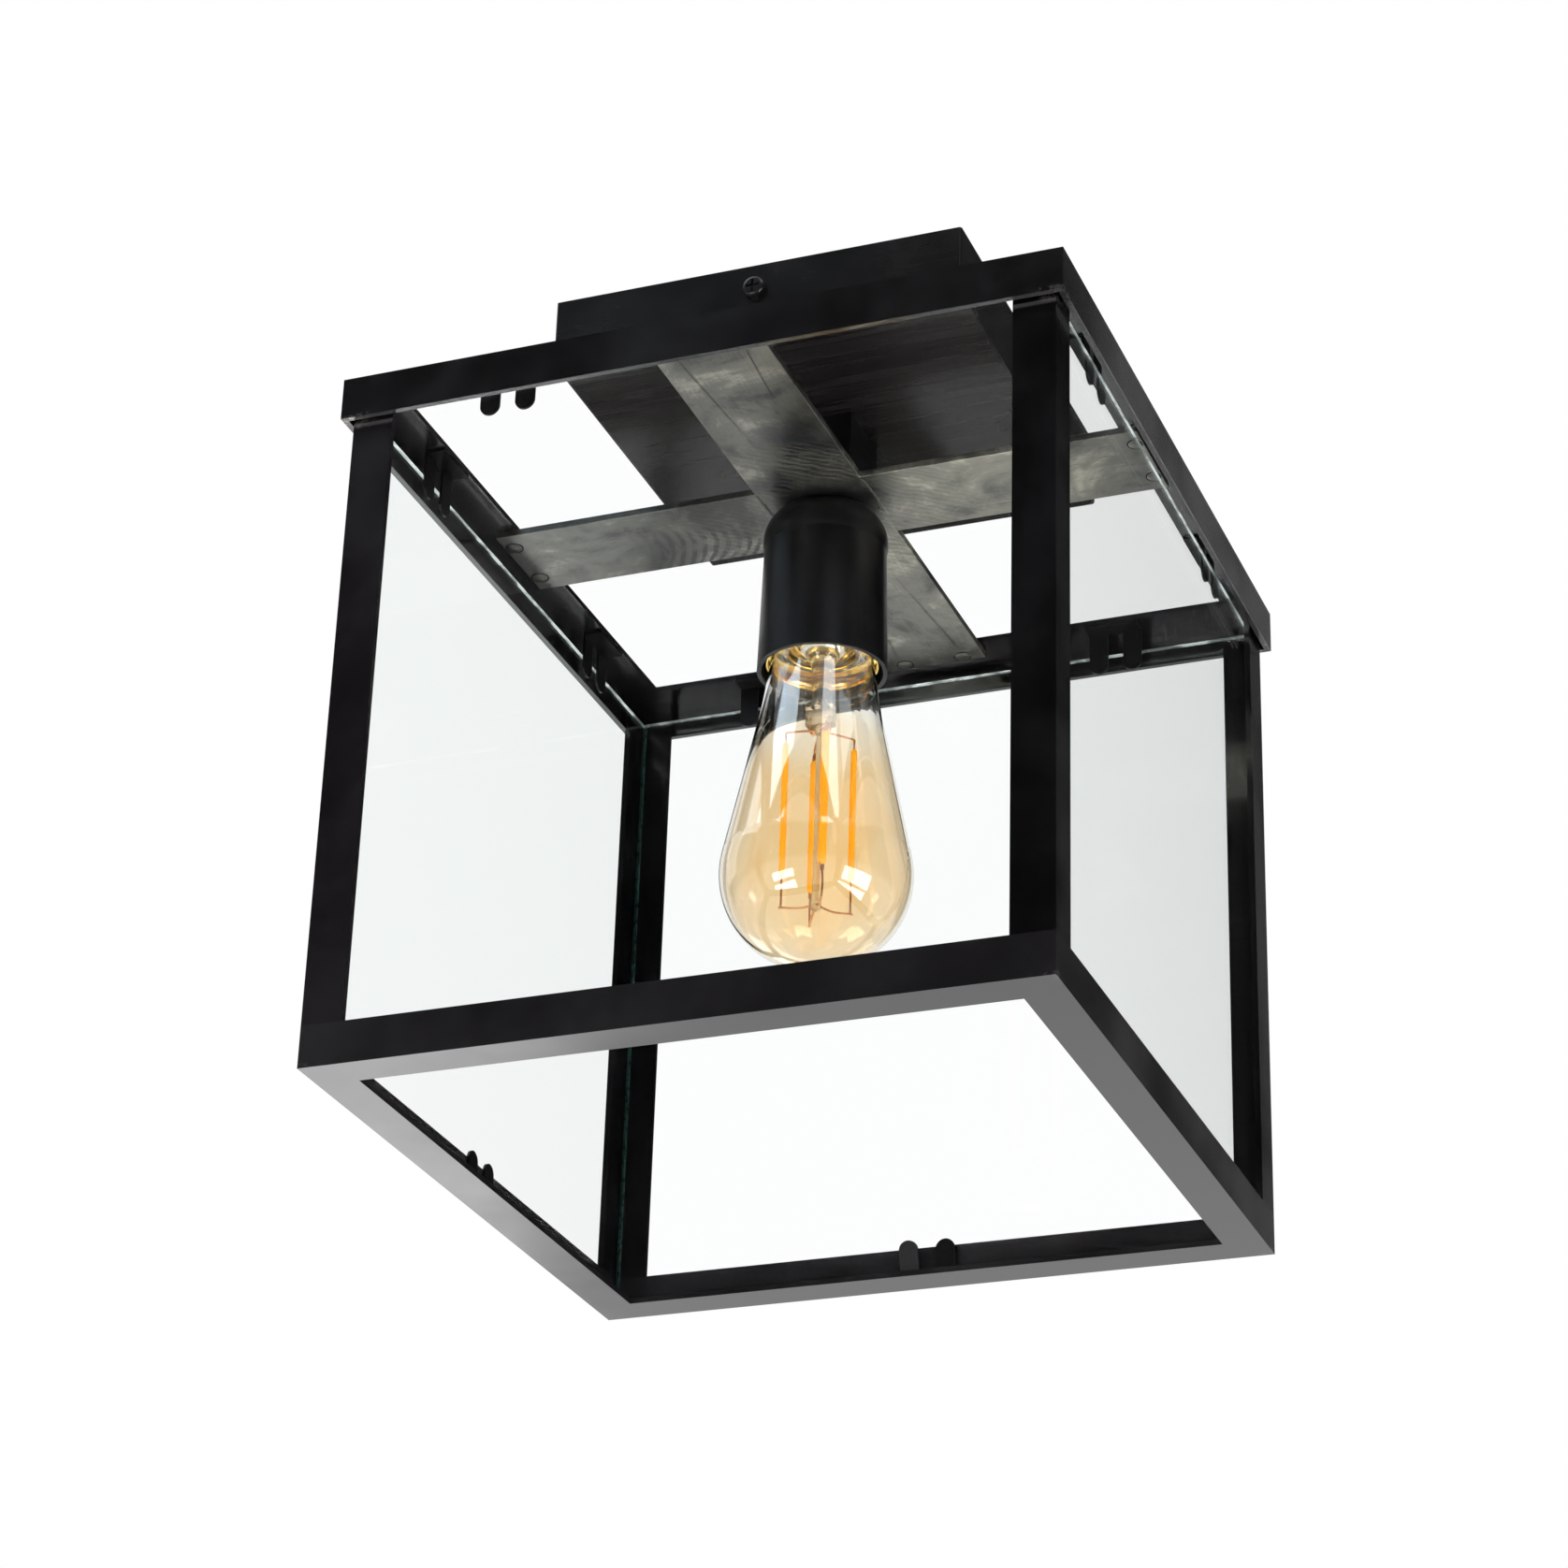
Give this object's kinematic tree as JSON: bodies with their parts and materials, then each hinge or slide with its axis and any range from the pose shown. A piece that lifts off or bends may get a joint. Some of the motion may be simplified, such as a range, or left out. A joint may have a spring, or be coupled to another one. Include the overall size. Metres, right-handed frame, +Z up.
{
  "type": "box lantern ceiling light",
  "caption": "Box lantern for a porch ceiling: angle-iron cage with clear panes, open below, hung from a square canopy, with a screw-in amber lamp in a domed holder.",
  "frame": {"origin": "ceiling plane at the middle of the canopy and of the ceiling bracket", "axes": "+Z up to the ceiling, -Y the front with a side screw, +X to the right"},
  "size_m": [0.2466, 0.2466, 0.294],
  "materials": {
    "blackened_steel": "satin blackened steel with worn corners",
    "raw_steel": "raw flat bar, brushed and mottled",
    "rivet_steel": "raw rivet heads",
    "canopy_steel": "satin dark brown-black",
    "screw_black": "black satin",
    "zinc_steel": "zinc plated",
    "terminal_plastic": "matte",
    "brass": "plain",
    "lead_brown": "matte",
    "lead_blue": "matte",
    "lead_green": "matte",
    "holder_black": "matte black",
    "holder_ceramic": "glazed",
    "bulb_brass": "polished gold tone",
    "insulator_black": "gloss",
    "pane_glass": "clear",
    "amber_glass": "clear amber",
    "stem_glass": "clear",
    "wire_metal": "bright wire",
    "filament_phosphor": "matte orange"
  },
  "bodies": {
    "lantern": {"bottom_rail_back": "blackened_steel", "bottom_rail_front": "blackened_steel", "bottom_rail_left": "blackened_steel", "bottom_rail_right": "blackened_steel", "canopy_nut": "zinc_steel", "canopy_side_screws": "screw_black", "canopy_tray": "canopy_steel", "ceiling_bracket": "zinc_steel", "centre_contact": "brass", "cross_arm_left": "raw_steel", "cross_arm_right": "raw_steel", "cross_bar_long": "raw_steel", "cross_rivets": "rivet_steel", "earth_lead": "lead_green", "earth_screw": "brass", "glass_pane_back": "pane_glass", "glass_pane_front": "pane_glass", "glass_pane_left": "pane_glass", "glass_pane_right": "pane_glass", "lampholder_cup": "holder_black", "lampholder_insert": "holder_ceramic", "lampholder_nut": "zinc_steel", "lampholder_terminals": "brass", "lid_rail_back": "blackened_steel", "lid_rail_front": "blackened_steel", "lid_rail_left": "blackened_steel", "lid_rail_right": "blackened_steel", "live_lead": "lead_brown", "neutral_lead": "lead_blue", "pane_fingers_back": "blackened_steel", "pane_fingers_front": "blackened_steel", "pane_fingers_left": "blackened_steel", "pane_fingers_right": "blackened_steel", "post_back_left": "blackened_steel", "post_back_right": "blackened_steel", "post_front_left": "blackened_steel", "post_front_right": "blackened_steel", "socket_shell": "brass", "spacer_tube": "canopy_steel", "terminal_block": "terminal_plastic", "terminal_screws": "zinc_steel", "threaded_nipple": "zinc_steel"},
    "bulb": {"bulb_cap": "bulb_brass", "cap_insulator": "insulator_black", "cap_tip": "bulb_brass", "bulb_collar": "bulb_brass", "bulb_glass": "amber_glass", "bulb_stem": "stem_glass", "filament_wires": "wire_metal", "filaments": "filament_phosphor"}
  },
  "joints": [
    {"name": "bulb_out", "type": "slide", "parent": "lantern", "child": "bulb", "axis": [0, 0, -1], "range_m": [0, 0.22]}
  ]
}
